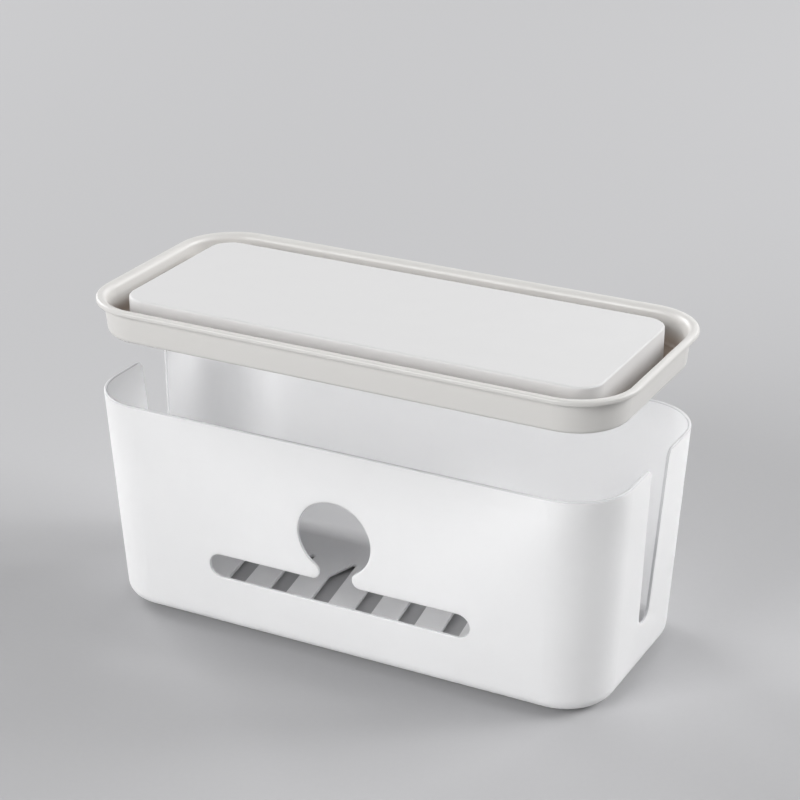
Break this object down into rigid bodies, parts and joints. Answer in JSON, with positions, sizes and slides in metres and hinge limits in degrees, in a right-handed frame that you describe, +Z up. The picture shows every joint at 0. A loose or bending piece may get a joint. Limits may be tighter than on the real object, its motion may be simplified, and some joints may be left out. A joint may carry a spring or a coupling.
{
  "type": "cable management box",
  "caption": "Open-topped storage tub for a socket strip and cables, with notched ends, a keyhole front opening, a vented floor and a lift-off trough lid.",
  "frame": {"origin": "on the table, under the middle of the box", "axes": "+X along the box's length, -Y towards the keyhole front, +Z up"},
  "size_m": [0.4038, 0.1838, 0.2355],
  "materials": {
    "box_shell": "fine-grained white moulded plastic",
    "pad": "matte grey rubber",
    "lid_tray": "satin ivory moulded plastic",
    "lid_panel": "fine-grained white moulded plastic"
  },
  "bodies": {
    "box": {"box_body": "box_shell", "pad_front_left": "pad", "pad_front_right": "pad", "pad_rear_left": "pad", "pad_rear_right": "pad"},
    "lid": {"lid_tray": "lid_tray", "lid_panel": "lid_panel"}
  },
  "joints": [
    {"name": "lid_lift", "type": "slide", "parent": "box", "child": "lid", "axis": [0, 0, 1], "range_m": [-0.066, 0.034]}
  ]
}
